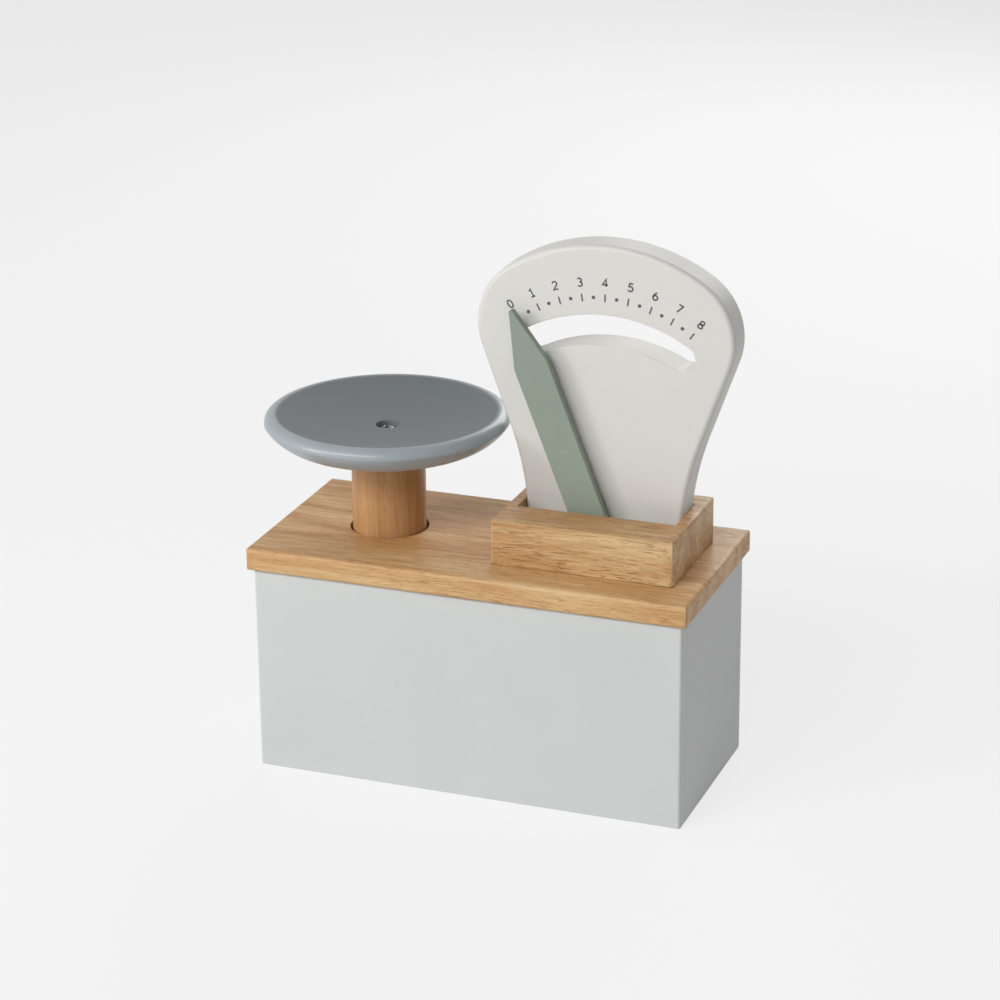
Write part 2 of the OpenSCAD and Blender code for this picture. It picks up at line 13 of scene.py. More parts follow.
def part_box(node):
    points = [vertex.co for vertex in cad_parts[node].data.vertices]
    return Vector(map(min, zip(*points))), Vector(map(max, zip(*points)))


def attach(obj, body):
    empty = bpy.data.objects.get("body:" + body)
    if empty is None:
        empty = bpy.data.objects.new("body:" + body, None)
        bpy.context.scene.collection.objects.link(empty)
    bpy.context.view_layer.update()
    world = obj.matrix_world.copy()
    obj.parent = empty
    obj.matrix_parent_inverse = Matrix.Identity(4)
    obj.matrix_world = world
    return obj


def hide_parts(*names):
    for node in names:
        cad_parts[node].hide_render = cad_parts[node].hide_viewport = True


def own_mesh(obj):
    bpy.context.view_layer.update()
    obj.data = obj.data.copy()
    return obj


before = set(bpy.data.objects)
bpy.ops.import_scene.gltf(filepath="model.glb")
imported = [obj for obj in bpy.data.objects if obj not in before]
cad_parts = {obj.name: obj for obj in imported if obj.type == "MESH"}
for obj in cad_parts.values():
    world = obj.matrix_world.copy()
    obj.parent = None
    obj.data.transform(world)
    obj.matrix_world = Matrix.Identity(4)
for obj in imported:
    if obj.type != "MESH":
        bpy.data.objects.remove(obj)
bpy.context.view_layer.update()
MM = 0.001

# Places and main sizes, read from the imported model
TOP_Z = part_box("top_board")[1].z
PAN_LOW, PAN_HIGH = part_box("pan")
PAN_X = (PAN_LOW.x + PAN_HIGH.x) / 2
PAN_R = (PAN_HIGH.x - PAN_LOW.x) / 2
DIAL_LOW, DIAL_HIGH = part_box("dial_plate")
DIAL_X = (DIAL_LOW.x + DIAL_HIGH.x) / 2
BLOCK_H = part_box("dial_block")[1].z - TOP_Z
POINTER_LOW, POINTER_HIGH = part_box("pointer")
PIN_LOW, PIN_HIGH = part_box("pivot_pin")
PIVOT_Z = (PIN_LOW.z + PIN_HIGH.z) / 2

# Sizes of the pan that its lacquer follows too
RIM_W = 5 * MM
CREST_R = PAN_R - RIM_W
DISH_DEPTH = 7.2 * MM
DISH_BOTTOM = PAN_HIGH.z - DISH_DEPTH
WELL_R = 5.75 * MM


# Mesh helpers

WELD_GAP = 0.002 * MM
SAME_PLACE = 1e-4 * MM


def bow(x, y, half_w, half_h, start, end, steps=20):
    """Points of a flat oval arc from one angle to another, in degrees."""
    angles = [math.radians(start + (end - start) * i / steps) for i in range(steps + 1)]
    return [(x + half_w * math.cos(a), y + half_h * math.sin(a)) for a in angles]


def arc(centre, radius, start, end, steps):
    """Points of a flat round arc from one angle to another, in degrees."""
    return bow(*centre, radius, radius, start, end, steps)


def circle(radius, steps):
    """Points of a flat circle about zero."""
    turns = [2 * math.pi * i / steps for i in range(steps)]
    return [(radius * math.cos(t), radius * math.sin(t)) for t in turns]


def joined(rings):
    """Faces between each closed ring of point numbers and the next ring."""
    faces = []
    for near, far in zip(rings, rings[1:]):
        for i in range(len(near)):
            j = (i + 1) % len(near)
            faces.append((near[i], near[j], far[j], far[i]))
    return faces


def lathe(profile, centre_x, steps):
    """Turns a profile of (radius, height) pairs about an upright axis. A radius of zero closes it."""
    points, rings = [], []
    for radius, height in profile:
        ring = circle(radius, steps) if radius else [(0, 0)]
        rings.append([len(points) + i % len(ring) for i in range(steps)])
        points.extend((centre_x + x, y, height) for x, y in ring)
    faces = [list(dict.fromkeys(face)) for face in joined(rings)]
    return points, [face for face in faces if len(face) > 2]


def edge_round(depth, radius, steps):
    """(depth, inset) pairs from the front face to the back face of a plate with rounded edges."""
    turns = [math.radians(90 * i / steps) for i in range(steps + 1)]
    front = [(radius * (1 - math.cos(t)), radius * (1 - math.sin(t))) for t in turns]
    return front + [(depth - d, inset) for d, inset in reversed(front)]


def plate(loops, front_y, depth):
    """An upright plate with rounded edges. Each loop is (outline, edge radius, edge steps).

    The first loop is the outside and the others are holes. An outline is a function of the inset that
    returns (x, z) points. A hole's outline grows with the inset.
    """
    points, faces, fronts, backs = [], [], [], []
    for outline, radius, steps in loops:
        rings = []
        for y, inset in edge_round(depth, radius, steps):
            start = len(points)
            points.extend((x, front_y + y, z) for x, z in outline(inset))
            rings.append(range(start, len(points)))
        faces.extend(joined(rings))
        fronts.append(rings[0])
        backs.append(rings[-1])
    for side in (fronts, backs):
        numbers = [i for ring in side for i in ring]
        for face in tessellate_polygon([[Vector(points[i]) for i in ring] for ring in side]):
            faces.append([numbers[i] for i in face])
    return points, faces


def tube(path, radius, sides):
    """A round tube along a list of points, closed at both ends."""
    points = []
    for i, here in enumerate(path):
        before, after = path[max(i - 1, 0)], path[min(i + 1, len(path) - 1)]
        along = (after - before).normalized()
        side = along.cross(Vector((0, 0, 1))).normalized()
        up = side.cross(along)
        points.extend(here + radius * (side * x + up * y) for x, y in circle(1, sides))
    rings = [tuple(range(start, start + sides)) for start in range(0, len(points), sides)]
    return points, joined(rings) + [rings[0], rings[-1]]


def mesh_piece(name, points, faces, material, body, nodes=()):
    """A smooth mesh that rides on a body and stands for its nodes."""
    mesh = bpy.data.meshes.new(name)
    mesh.from_pydata(points, [], faces)
    mesh.validate()
    tidy = bmesh.new()
    tidy.from_mesh(mesh)
    bmesh.ops.recalc_face_normals(tidy, faces=tidy.faces)
    tidy.to_mesh(mesh)
    tidy.free()
    mesh.shade_smooth()
    mesh.materials.append(material)
    piece = bpy.data.objects.new(name, mesh)
    bpy.context.scene.collection.objects.link(piece)
    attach(piece, body)
    if nodes:
        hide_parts(*nodes)
    return piece


def weld(piece):
    """Joins corners that lie in the same place."""
    modifier = piece.modifiers.new("weld", "WELD")
    modifier.merge_threshold = WELD_GAP


def sharpen(piece, least_turn):
    """Keeps the corners sharp that turn by more than an angle, in degrees."""
    piece.data.set_sharp_from_angle(angle=math.radians(least_turn))


def flat_faces_first(piece):
    """Lets the large faces set the normals, so that flats look flat and edges look round."""
    modifier = piece.modifiers.new("normals", "WEIGHTED_NORMAL")
    modifier.mode = "FACE_AREA"
    modifier.weight = 100


# Material helpers

def tone(code):
    """A linear colour from a hexadecimal one, by the sRGB curve."""
    shares = [int(code[i:i + 2], 16) / 255 for i in (1, 3, 5)]
    linear = [s / 12.92 if s <= 0.04045 else ((s + 0.055) / 1.055) ** 2.4 for s in shares]
    return (*linear, 1)


def grey(share):
    """A linear grey, from zero for black to one for white."""
    return (share, share, share, 1)


WHITE = grey(1)

# The range that a noise seldom leaves
NOISE_LOW = 0.3
NOISE_HIGH = 0.7


class Finish:
    """A material under construction: short calls that add nodes and return their output sockets."""

    def __init__(self, name, **shader):
        self.material = bpy.data.materials.new(name)
        self.material.use_nodes = True
        self.tree = self.material.node_tree
        self.shader = self.tree.nodes["Principled BSDF"]
        for socket, value in shader.items():
            self.shader.inputs[socket.replace("_", " ")].default_value = value
        self.place = self.node("TexCoord").outputs["Object"]

    def node(self, kind, **sockets):
        """A new node with its named sockets fed."""
        made = self.tree.nodes.new("ShaderNode" + kind)
        for name, value in sockets.items():
            self.feed(made.inputs[name.replace("_", " ")], value)
        return made

    def feed(self, socket, value):
        """Links a socket to another one, or sets its value."""
        if isinstance(value, bpy.types.NodeSocket):
            self.tree.links.new(value, socket)
        else:
            socket.default_value = value

    def noise(self, scale, detail=2, roughness=0.5, distortion=0, offset=(0, 0, 0)):
        """Noise with its own scale, in cells a metre, along each axis."""
        scales = scale if isinstance(scale, tuple) else (scale,) * 3
        mapped = self.node("Mapping", Vector=self.place, Location=offset, Scale=scales)
        made = self.node("TexNoise", Vector=mapped.outputs["Vector"], Scale=1, Detail=detail,
                         Roughness=roughness, Distortion=distortion)
        return made.outputs["Fac"]

    def sway(self, scale, reach, offset):
        """Bends the place that later patterns are read at, by up to about half the reach each way."""
        mapped = self.node("Mapping", Vector=self.place, Location=offset, Scale=scale)
        drift = self.node("TexNoise", Vector=mapped.outputs["Vector"], Scale=1, Detail=1)
        moved = self.node("VectorMath")
        moved.operation = "MULTIPLY_ADD"
        self.feed(moved.inputs[0], drift.outputs["Color"])
        self.feed(moved.inputs[1], (reach,) * 3)
        self.feed(moved.inputs[2], self.place)
        self.place = moved.outputs["Vector"]

    def spread(self, value, low, high, to_low=0, to_high=1):
        """Maps low..high of a value to a new range with soft ends, and holds it there."""
        made = self.node("MapRange", Value=value, From_Min=low, From_Max=high,
                         To_Min=to_low, To_Max=to_high)
        made.interpolation_type = "SMOOTHSTEP"
        return made.outputs["Result"]

    def vary(self, noise, low, high):
        """A number that goes from low to high over the range that a noise seldom leaves."""
        return self.spread(noise, NOISE_LOW, NOISE_HIGH, low, high)

    def combine(self, first, second, operation="ADD"):
        """Two numbers added, or combined by another operation of the math node."""
        made = self.node("Math")
        made.operation = operation
        self.feed(made.inputs[0], first)
        self.feed(made.inputs[1], second)
        return made.outputs[0]

    def ramp(self, value, stops):
        """A colour that follows a value through (position, colour) stops."""
        made = self.node("ValToRGB", Fac=value)
        first, last = made.color_ramp.elements
        first.position, first.color = stops[0]
        last.position, last.color = stops[-1]
        for position, colour in stops[1:-1]:
            made.color_ramp.elements.new(position).color = colour
        return made.outputs["Color"]

    def mix(self, share, first, second, blend="MIX"):
        """Two colours mixed. Several sockets of the node share a name, so they go by number."""
        made = self.node("Mix")
        made.data_type = "RGBA"
        made.blend_type = blend
        self.feed(made.inputs[0], share)
        self.feed(made.inputs[6], first)
        self.feed(made.inputs[7], second)
        return made.outputs[2]

    def bump(self, height, distance, strength):
        """Normals that follow a height, which reaches up by the distance."""
        return self.node("Bump", Height=height, Distance=distance, Strength=strength).outputs["Normal"]

    def finish(self, colour, roughness=None, normal=None):
        """Feeds the shader what varies over the surface, and returns the material."""
        for name, value in (("Base Color", colour), ("Roughness", roughness), ("Normal", normal)):
            if value is not None:
                self.feed(self.shader.inputs[name], value)
        return self.material


def along_grain(axis, along, across):
    """Scales of a noise that is stretched along the grain's axis."""
    return tuple(along if name == axis else across for name in "XYZ")


# Materials

GRAIN_SWAY = 7 * MM
# How far the dish's painted shade and matt finish fade into the rim's painted light and polish
LACQUER_FADE = 1 * MM


def pore_dashes(made, axis, start, pores):
    """Fine dashes along the grain, long and short, that crowd together in places."""
    long_pore = made.noise(along_grain(axis, 95, 1700), detail=1, offset=start)
    short_pore = made.noise(along_grain(axis, 210, 2500), detail=1, offset=start)
    crowd = made.noise(along_grain(axis, 14, 110), detail=2, offset=start)
    dash = made.combine(made.spread(long_pore, 0.57, 0.63, 0, 0.8 * pores),
                        made.spread(short_pore, 0.6, 0.66, 0, 0.7 * pores), "MAXIMUM")
    return made.combine(dash, made.spread(crowd, 0.34, 0.6, 0.4, 1), "MULTIPLY")


def wood(name, dark, middle, light, pore, *, offset, pores, axis="X", gloss=0.42):
    """Clear-coated rubberwood: a soft figure, fine fibres and fine dark pores along the grain."""
    made = Finish(name, Specular_IOR_Level=0.28, Coat_Weight=0.08, Coat_Roughness=0.3)
    start = (offset, offset * 1.7, offset * 2.3)
    made.sway(along_grain(axis, 14, 32), GRAIN_SWAY, start)
    figure = made.noise(along_grain(axis, 6, 55), detail=4, roughness=0.55, distortion=0.8,
                        offset=start)
    streak = made.noise(along_grain(axis, 16, 420), detail=4, roughness=0.6, distortion=0.3,
                        offset=start)
    fibre = made.noise(along_grain(axis, 90, 3200), detail=2, offset=start)
    hole = pore_dashes(made, axis, start, pores)
    body = made.combine(made.vary(figure, 0, 0.6), made.vary(streak, 0, 0.4))
    colour = made.ramp(body, [(0.15, tone(dark)), (0.5, tone(middle)), (0.88, tone(light))])
    colour = made.mix(made.spread(fibre, 0.35, 0.65, 0, 0.12), colour, tone(dark))
    colour = made.mix(hole, colour, tone(pore))
    sheen = made.vary(streak, gloss + 0.05, gloss - 0.05)
    roughness = made.combine(sheen, made.combine(hole, 0.2, "MULTIPLY"))
    relief = made.combine(made.combine(fibre, 0.25, "MULTIPLY"), hole, "SUBTRACT")
    return made.finish(colour, roughness, made.bump(relief, 0.05 * MM, 0.6))


def sprayed(made):
    """The soft clouds, fine specks and uneven skin that paint and lacquer share."""
    cloud = made.noise(16, detail=3, roughness=0.6)
    speck = made.noise(1100, detail=3, roughness=0.7)
    skin = made.noise(420, detail=2, distortion=0.4)
    relief = made.combine(skin, made.combine(speck, 0.25, "MULTIPLY"))
    return cloud, speck, relief


def paint(name, code, roughness, mottle, peel, **shader):
    """Sprayed paint: faint mottling, a slight orange peel and uneven gloss."""
    made = Finish(name, **shader)
    cloud, speck, relief = sprayed(made)
    plain = tone(code)
    deeper = (*[c * (1 - mottle) for c in plain[:3]], 1)
    lighter = (*[min(1, c * (1 + mottle)) for c in plain[:3]], 1)
    shade = made.combine(made.vary(cloud, 0, 0.5), made.vary(speck, 0, 0.5))
    colour = made.ramp(shade, [(0.1, deeper), (0.9, lighter)])
    gloss = made.combine(made.spread(cloud, 0.25, 0.75, roughness - 0.05, roughness + 0.05),
                         made.vary(speck, -0.02, 0.02))
    return made.finish(colour, gloss, made.bump(relief, peel, 0.6))


def lit_and_polished_share(made):
    """One on the pan's rim and belly, which take painted light and polish, and zero in its dish and its
    screw well, which take painted shade.
    """
    flat = made.node("Mapping", Vector=made.place, Location=(-PAN_X, 0, 0), Scale=(1, 1, 0))
    from_axis = made.node("VectorMath")
    from_axis.operation = "LENGTH"
    made.feed(from_axis.inputs[0], flat.outputs["Vector"])
    radius = from_axis.outputs["Value"]
    height = made.node("SeparateXYZ", Vector=made.place).outputs["Z"]
    on_rim = made.spread(radius, CREST_R - 2 * LACQUER_FADE, CREST_R + LACQUER_FADE)
    below_dish = made.spread(height, DISH_BOTTOM, DISH_BOTTOM - LACQUER_FADE)
    beyond_well = made.spread(radius, WELL_R + LACQUER_FADE, WELL_R + 2 * LACQUER_FADE)
    on_belly = made.combine(below_dish, beyond_well, "MULTIPLY")
    return made.combine(on_rim, on_belly, "MAXIMUM")


def lacquer(name, inside, outside, matt, polished):
    """The pan's satin lacquer: matt inside the dish and polished by hands outside, with painted shade
    darkening the dish and well and painted light making the rim and belly paler.
    """
    made = Finish(name)
    lit_and_polished = lit_and_polished_share(made)
    cloud, speck, relief = sprayed(made)
    shade = made.combine(made.vary(cloud, 0.95, 1.0), made.vary(speck, 0, 0.05))
    # Painted shade: the dish and well take the darker colour. Painted light: the rim and belly take the
    # paler one.
    colour = made.mix(lit_and_polished, tone(inside), tone(outside))
    colour = made.mix(1.0, colour, shade, "MULTIPLY")
    gloss = made.combine(made.spread(lit_and_polished, 0, 1, matt, polished), made.vary(cloud, -0.03, 0.03))
    return made.finish(colour, gloss, made.bump(relief, 0.02 * MM, 0.6))


def steel(name, code, roughness):
    """Drawn or plated steel with a fine uneven sheen."""
    made = Finish(name, Metallic=1.0)
    drawn = made.noise(900, detail=3)
    colour = made.mix(made.vary(drawn, 0, 0.3), tone(code), (0.2, 0.2, 0.21, 1))
    gloss = made.vary(drawn, roughness - 0.06, roughness + 0.08)
    return made.finish(colour, gloss, made.bump(drawn, 0.02 * MM, 0.5))


def nylon(name):
    """Plain dark nylon with a fine grain."""
    made = Finish(name)
    grain = made.noise(1600, detail=2)
    colour = made.ramp(grain, [(NOISE_LOW, tone("#33343a")), (NOISE_HIGH, tone("#42434a"))])
    return made.finish(colour, made.vary(grain, 0.5, 0.62), made.bump(grain, 0.02 * MM, 0.5))


MATERIALS = {
    "board_wood": wood("board_wood", "#b98955", "#cfa370", "#ddba88", "#8f6034",
                       offset=0.4, pores=0.6),
    "block_wood": wood("block_wood", "#b8895a", "#cda675", "#e0c292", "#875832",
                       offset=2.9, pores=0.85),
    "post_wood": wood("post_wood", "#b18253", "#bd8f60", "#c89c6e", "#93683e",
                      offset=1.3, pores=0.35, axis="Z"),
    "inner_wood": wood("inner_wood", "#b39063", "#c7a679", "#d5b98f", "#906a41",
                       offset=7.7, pores=0.6, gloss=0.65),
    "base_plywood": wood("base_plywood", "#b08a5c", "#c7a579", "#d8bd95", "#94683e",
                         offset=5.3, pores=0.55, gloss=0.6),
    # The first colour is darkened with painted shade for the dish and well, the second lightened with
    # painted light for the rim and belly
    "pan_lacquer": lacquer("pan_lacquer", "#6d7377", "#a0a8ac", matt=0.68, polished=0.3),
    "dial_paint": paint("dial_paint", "#dcdbd6", roughness=0.46, mottle=0.02, peel=0.03 * MM,
                        Specular_IOR_Level=0.4),
    "pointer_paint": paint("pointer_paint", "#8f9b8e", roughness=0.6, mottle=0.06, peel=0.05 * MM,
                           Specular_IOR_Level=0.3),
    "case_paint": paint("case_paint", "#d2d4d3", roughness=0.5, mottle=0.025, peel=0.04 * MM,
                        Specular_IOR_Level=0.4),
    "dial_ink": paint("dial_ink", "#565759", roughness=0.55, mottle=0.05, peel=0.01 * MM),
    "screw_steel": steel("screw_steel", "#b9b9b8", roughness=0.3),
    # The pan screw's steel is darkened with painted shade, as if it lay in the shade of its well
    "shade_darkened_steel": steel("shade_darkened_steel", "#77787a", roughness=0.3),
    "spring_steel": steel("spring_steel", "#8d8e90", roughness=0.34),
    "spacer_nylon": nylon("spacer_nylon"),
}


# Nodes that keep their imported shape, by material, with how far their edges are eased, in mm

KEPT_NODES = {
    "board_wood": {"top_board": 0.3},
    "block_wood": {"dial_block": 0.7},
    "case_paint": {"front_panel": 0.4, "back_panel": 0.4, "left_panel": 0.3, "right_panel": 0.3},
    "base_plywood": {"base_panel": 0.2},
    "post_wood": {"post": 0.4},
    "inner_wood": {
        "corner_block_fl": 0.3, "corner_block_fr": 0.3,
        "corner_block_bl": 0.3, "corner_block_br": 0.3,
        "board_dowels": 0.2, "dial_dowels": 0.2,
        "guide_block": 0.3, "drive_arm": 0.4, "spring_peg": 0.3,
    },
    "screw_steel": {
        "base_screws": 0.05, "guide_screws": 0.05, "block_screws": 0.05, "arm_screw": 0.05,
        "fork_screws": 0.05, "pivot_pin": 0.15, "crank_pin": 0.15, "drive_fork": 0.1,
    },
    "spacer_nylon": {"rear_spacer": 0.1, "front_spacer": 0.1},
}
EASED_TURN = 75  # degrees: only edges that turn by more than this are eased


def dress(name, material, edge):
    """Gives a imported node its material, joins its split corners and eases its sharp edges."""
    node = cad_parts[name]
    node.data.materials.clear()
    node.data.materials.append(MATERIALS[material])
    node.data.shade_smooth()
    weld(node)
    bevel = node.modifiers.new("edges", "BEVEL")
    bevel.width = edge
    bevel.segments = 2
    bevel.limit_method = "ANGLE"
    bevel.angle_limit = math.radians(EASED_TURN)
    bevel.use_clamp_overlap = False
    flat_faces_first(node)


# Pan

RIM_H = 4.6 * MM
RIDGE_UP = PAN_HIGH.z - PAN_LOW.z - RIM_H
PAN_FOOT_R = 38 * MM
WELL_DEPTH = 3 * MM
WELL_FLOOR = DISH_BOTTOM - WELL_DEPTH
WELL_EDGE_R = 0.3 * MM
POST_R = 18.05 * MM
PAN_SEAT = 2 * MM
PAN_STEPS = 192
BELLY_TURN = 60  # degrees
BELLY_STEPS = 16
RIM_STEPS = 16
DISH_STEPS = 24
WELL_EDGE_STEPS = 4
PAN_CORNER = 12  # degrees


def pan_belly():
    """The underside, from the foot out and up to the pan's widest place."""
    full_sin = math.sin(math.radians(BELLY_TURN))
    full_cos = math.cos(math.radians(BELLY_TURN))
    profile = []
    for i in range(BELLY_STEPS + 1):
        turn = math.radians(BELLY_TURN * i / BELLY_STEPS)
        radius = PAN_FOOT_R + (PAN_R - PAN_FOOT_R) * math.sin(turn) / full_sin
        profile.append((radius, PAN_LOW.z + RIDGE_UP * (1 - math.cos(turn)) / (1 - full_cos)))
    return profile


def pan_rim():
    """The rim, from the pan's widest place up and in to its crest."""
    return bow(CREST_R, PAN_LOW.z + RIDGE_UP, RIM_W, RIM_H, 0, 90, RIM_STEPS)[1:]


def dish_height(radius):
    """Height of the round dish at a distance from the pan's middle."""
    dish_r = (CREST_R ** 2 + DISH_DEPTH ** 2) / (2 * DISH_DEPTH)
    return DISH_BOTTOM + dish_r - math.sqrt(dish_r ** 2 - radius ** 2)


def pan_dish():
    """The dish, from the rim's crest in to the eased edge of the screw well."""
    edge_r = WELL_R + WELL_EDGE_R
    profile = []
    for i in range(1, DISH_STEPS + 1):
        radius = CREST_R + (edge_r - CREST_R) * i / DISH_STEPS
        profile.append((radius, dish_height(radius)))
    for i in range(1, WELL_EDGE_STEPS + 1):
        turn = math.radians(90 * i / WELL_EDGE_STEPS)
        profile.append((edge_r - WELL_EDGE_R * math.sin(turn),
                        dish_height(edge_r) - WELL_EDGE_R * (1 - math.cos(turn))))
    return profile


def pan_profile():
    """The section, from the middle of the seat on the post round to the middle of the screw well."""
    seat_z = PAN_LOW.z + PAN_SEAT
    seat = [(0, seat_z), (POST_R, seat_z), (POST_R, PAN_LOW.z)]
    well = [(WELL_R, WELL_FLOOR), (0, WELL_FLOOR)]
    return seat + pan_belly() + pan_rim() + pan_dish() + well


def make_pan():
    """The turned pan, with its seat on the post below and its screw well above."""
    points, faces = lathe(pan_profile(), PAN_X, PAN_STEPS)
    pan = mesh_piece("pan_turned", points, faces, MATERIALS["pan_lacquer"], "weighing_pan",
                     ["pan"])
    sharpen(pan, PAN_CORNER)


# Screw in the pan: a domed head with a cross recess

HEAD_R = 4 * MM
HEAD_H = 2.2 * MM
HEAD_RINGS = 44
HEAD_STEPS = 120
HEAD_CORNER = 40  # degrees
CROSS_W = 1.0 * MM
CROSS_LEN = 4.6 * MM
CROSS_DEPTH = 1.3 * MM
CROSS_WALL = 0.18 * MM
CROSS_SLOPE = 0.9 * MM
SHANK_R = 1.7 * MM


def held(share):
    """A share held between zero and one."""
    return max(0.0, min(1.0, share))


def cross_depth(x, y):
    """How deep the recess is at a point of the head: four arms that slope in to the middle."""
    arm = max(abs(x), abs(y))
    side = min(abs(x), abs(y))
    width = held((CROSS_W / 2 - side) / CROSS_WALL + 0.5)
    length = held((CROSS_LEN / 2 - arm) / CROSS_SLOPE)
    return CROSS_DEPTH * width * length


def make_pan_screw():
    """Rings of points go out over the head from its middle, and then down the shank."""
    points = []
    for k in range(HEAD_RINGS + 1):
        radius = HEAD_R * k / HEAD_RINGS
        dome = HEAD_H * math.sqrt(max(0.0, 1 - (radius / HEAD_R) ** 2))
        points.extend((PAN_X + x, y, WELL_FLOOR + max(0.0, dome - cross_depth(x, y)))
                      for x, y in circle(radius, HEAD_STEPS))
    shank_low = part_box("pan_screw")[0].z
    for radius, height in ((HEAD_R, WELL_FLOOR), (SHANK_R, WELL_FLOOR), (SHANK_R, shank_low)):
        points.extend((PAN_X + x, y, height) for x, y in circle(radius, HEAD_STEPS))
    rings = [tuple(range(start, start + HEAD_STEPS)) for start in range(0, len(points), HEAD_STEPS)]
    screw = mesh_piece("pan_screw_head", points, joined(rings) + [rings[-1]],
                       MATERIALS["shade_darkened_steel"], "weighing_pan", ["pan_screw"])
    weld(screw)
    sharpen(screw, HEAD_CORNER)


# Dial

DIAL_TH = DIAL_HIGH.y - DIAL_LOW.y
DIAL_H = DIAL_HIGH.z - TOP_Z
DIAL_HALF_W = (DIAL_HIGH.x - DIAL_LOW.x) / 2
DIAL_EDGE_R = 2.5 * MM
DIAL_TOP_R = 88 * MM
SHOULDER_R = 34 * MM
WAIST_HALF_W = 38.5 * MM
FLANK_LOW = 33.9 * MM
WAIST_RUN = 26.4 * MM
WINDOW_DROP = 33.4 * MM
WINDOW_H = 14.9 * MM
WINDOW_TOP = DIAL_H - WINDOW_DROP
WINDOW_LOW = WINDOW_TOP - WINDOW_H
WINDOW_HALF_W = 38 * MM
WINDOW_BOW = 9 * MM
WINDOW_END_R = 6.5 * MM
WINDOW_EDGE_R = 0.4 * MM
PIN_HOLE_R = 2.05 * MM
HOLE_EDGE_R = 0.1 * MM
HOLE_EDGE_STEPS = 1
HOLE_STEPS = 32
WAIST_STEPS = 16
SHOULDER_STEPS = 36
TOP_STEPS = 18
DIAL_EDGE_STEPS = 8
WINDOW_STEPS = 20
WINDOW_END_STEPS = 16
WINDOW_EDGE_STEPS = 3


def both_halves(half):
    """A whole outline from its right half, moved to the dial's place. The middle line isn't doubled."""
    left = [(-x, z) for x, z in reversed(half) if x > SAME_PLACE]
    return [(DIAL_X + x, TOP_Z + z) for x, z in half + left]


def dial_outline(inset):
    """The dial's edge: up from its foot through the waist, round the shoulder and over the top."""
    shoulder_x = DIAL_HALF_W - SHOULDER_R
    top_up = DIAL_H - DIAL_TOP_R
    shoulder_up = top_up + math.sqrt((DIAL_TOP_R - SHOULDER_R) ** 2 - shoulder_x ** 2)
    shoulder_turn = math.degrees(math.atan2(shoulder_up - top_up, shoulder_x))
    across, rise = WAIST_HALF_W - shoulder_x, shoulder_up - FLANK_LOW
    lean = math.asin(SHOULDER_R / math.hypot(across, rise)) - math.atan2(across, rise)
    waist_r = WAIST_RUN / math.tan(lean / 2)
    waist = (WAIST_HALF_W + waist_r, FLANK_LOW - WAIST_RUN)
    foot_turn = math.asin((BLOCK_H - waist[1]) / waist_r)
    foot_half_w = waist[0] - waist_r * math.cos(foot_turn)
    flank = math.degrees(lean)
    half = [(foot_half_w - inset, 0)]
    half += arc(waist, waist_r + inset, 180 - math.degrees(foot_turn), 180 - flank, WAIST_STEPS)
    half += arc((shoulder_x, shoulder_up), SHOULDER_R - inset, -flank, shoulder_turn,
                SHOULDER_STEPS)[1:]
    half += arc((0, top_up), DIAL_TOP_R - inset, shoulder_turn, 90, TOP_STEPS)[1:]
    return both_halves(half)


def window_outline(inset):
    """The window: two arcs about the dial's middle line, with a round end between them on each side."""
    end_r = WINDOW_END_R + inset
    end_up = WINDOW_LOW + WINDOW_END_R - WINDOW_BOW

    def middle(up):
        """Height of the middle of an arc that peaks at a height and runs through the ends' middles."""
        return (up ** 2 - WINDOW_HALF_W ** 2 - end_up ** 2) / (2 * (up - end_up))

    top, low = middle(WINDOW_TOP - WINDOW_END_R), middle(WINDOW_LOW + WINDOW_END_R)
    top_turn = math.degrees(math.atan2(end_up - top, WINDOW_HALF_W))
    low_turn = math.degrees(math.atan2(end_up - low, WINDOW_HALF_W))
    half = arc((0, low), WINDOW_LOW - low - inset, 90, low_turn, WINDOW_STEPS)
    half += arc((WINDOW_HALF_W, end_up), end_r, low_turn - 180, top_turn, WINDOW_END_STEPS)[1:]
    half += arc((0, top), WINDOW_TOP - top + inset, top_turn, 90, WINDOW_STEPS)[1:]
    return both_halves(half)


def round_hole(x, z, radius):
    """The outline of a round hole, as a function of its inset."""
    last = 360 - 360 / HOLE_STEPS
    return lambda inset: arc((x, z), radius + inset, 0, last, HOLE_STEPS - 1)


def make_dial():
    """The dial, with its window and the hole of the pivot pin."""
    loops = [
        (dial_outline, DIAL_EDGE_R, DIAL_EDGE_STEPS),
        (window_outline, WINDOW_EDGE_R, WINDOW_EDGE_STEPS),
        (round_hole(DIAL_X, PIVOT_Z, PIN_HOLE_R), HOLE_EDGE_R, HOLE_EDGE_STEPS),
    ]
    points, faces = plate(loops, 0, DIAL_TH)
    dial = mesh_piece("dial_painted", points, faces, MATERIALS["dial_paint"], "case",
                      ["dial_plate"])
    flat_faces_first(dial)


# Pointer, drawn upright about its pivot and then leant over to its rest place

POINTER_W = 17.5 * MM
POINTER_LEN = 120 * MM
TAPER_LEN = 27.5 * MM
TIP_W = 1.8 * MM
CRANK_R = 18 * MM
CRANK_W = 11 * MM
CRANK_HOLE_R = 1.55 * MM
POINTER_LEAN = math.radians(21.25)
POINTER_EDGE_R = 0.35 * MM
POINTER_EDGE_STEPS = 3
FOOT_STEPS = 30
CRANK_STEPS = 20


def leant(points):
    """Leans (across, up) points about the pivot and moves them to the dial's place."""
    cosine, sine = math.cos(POINTER_LEAN), math.sin(POINTER_LEAN)
    return [(DIAL_X + x * cosine - z * sine, PIVOT_Z + x * sine + z * cosine) for x, z in points]


